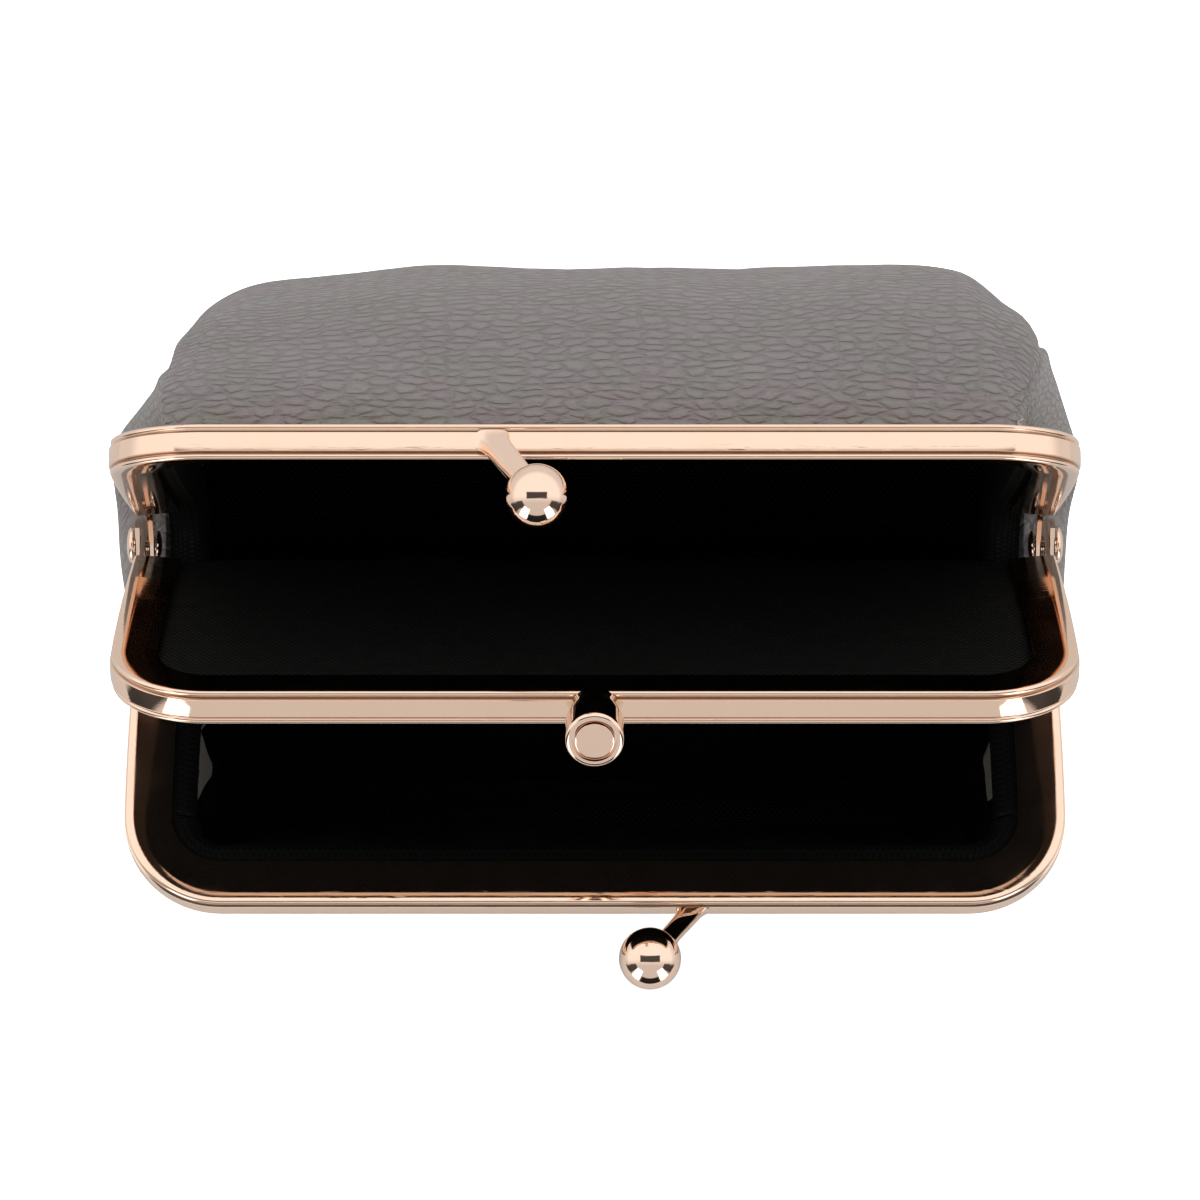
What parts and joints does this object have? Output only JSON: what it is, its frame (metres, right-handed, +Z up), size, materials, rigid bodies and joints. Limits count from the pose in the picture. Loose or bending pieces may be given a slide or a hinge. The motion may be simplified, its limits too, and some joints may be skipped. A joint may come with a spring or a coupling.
{
  "type": "triple frame coin purse",
  "caption": "Kiss-lock coin purse, drawn open: U-shaped channel frames on shared rivets, ball clasps, a catch post, grained leather body, two lined pockets and a partition.",
  "frame": {"origin": "on the surface the purse stands on, in its base, straight below the hinge axis and midway between the two rivets", "axes": "+X along the hinge axis, +Y towards the rear frame and rear pocket, +Z up out of the mouths"},
  "size_m": [0.1244, 0.0967, 0.1065],
  "materials": {
    "rose_gold": "polished rose gold plating on pressed steel",
    "rose_gold_cast": "polished rose gold plating on a casting",
    "grey_leather": "soft pebbled grain, satin, grey with a little mauve",
    "black_lining": "plain-woven black polyester",
    "stiff_card": "uncoated fibre card",
    "paper_cord": "twisted paper cord"
  },
  "bodies": {
    "bag": {"rear_frame": "rose_gold", "left_rivet": "rose_gold", "right_rivet": "rose_gold", "rear_clasp": "rose_gold_cast", "rear_cord": "paper_cord", "rear_panel": "grey_leather", "rear_panel_lining": "black_lining", "rear_interlining": "stiff_card", "left_gusset": "grey_leather", "left_gusset_lining": "black_lining", "right_gusset": "grey_leather", "right_gusset_lining": "black_lining", "front_panel": "grey_leather", "front_panel_lining": "black_lining", "front_interlining": "stiff_card", "base_panel": "grey_leather", "base_board": "stiff_card", "base_lining": "black_lining"},
    "middle_leaf": {"middle_frame": "rose_gold", "catch_post": "rose_gold_cast", "catch_button": "rose_gold_cast", "middle_cord": "paper_cord", "partition_rear_cloth": "black_lining", "partition_card": "stiff_card", "partition_front_cloth": "black_lining"},
    "front_leaf": {"front_frame": "rose_gold", "front_clasp": "rose_gold_cast", "front_cord": "paper_cord"}
  },
  "joints": [
    {"name": "middle_frame_hinge", "type": "hinge", "parent": "bag", "child": "middle_leaf", "pos_m": [0, 0, 0.045], "axis": [1, 0, 0], "range_deg": [-34, 6], "deforming": ["partition_rear_cloth", "partition_card", "partition_front_cloth"]},
    {"name": "front_frame_hinge", "type": "hinge", "parent": "middle_leaf", "child": "front_leaf", "pos_m": [0, 0, 0.045], "axis": [1, 0, 0], "range_deg": [-42.7, 8], "deforming": ["front_panel", "front_panel_lining", "front_interlining", "left_gusset", "left_gusset_lining", "right_gusset", "right_gusset_lining"]}
  ]
}
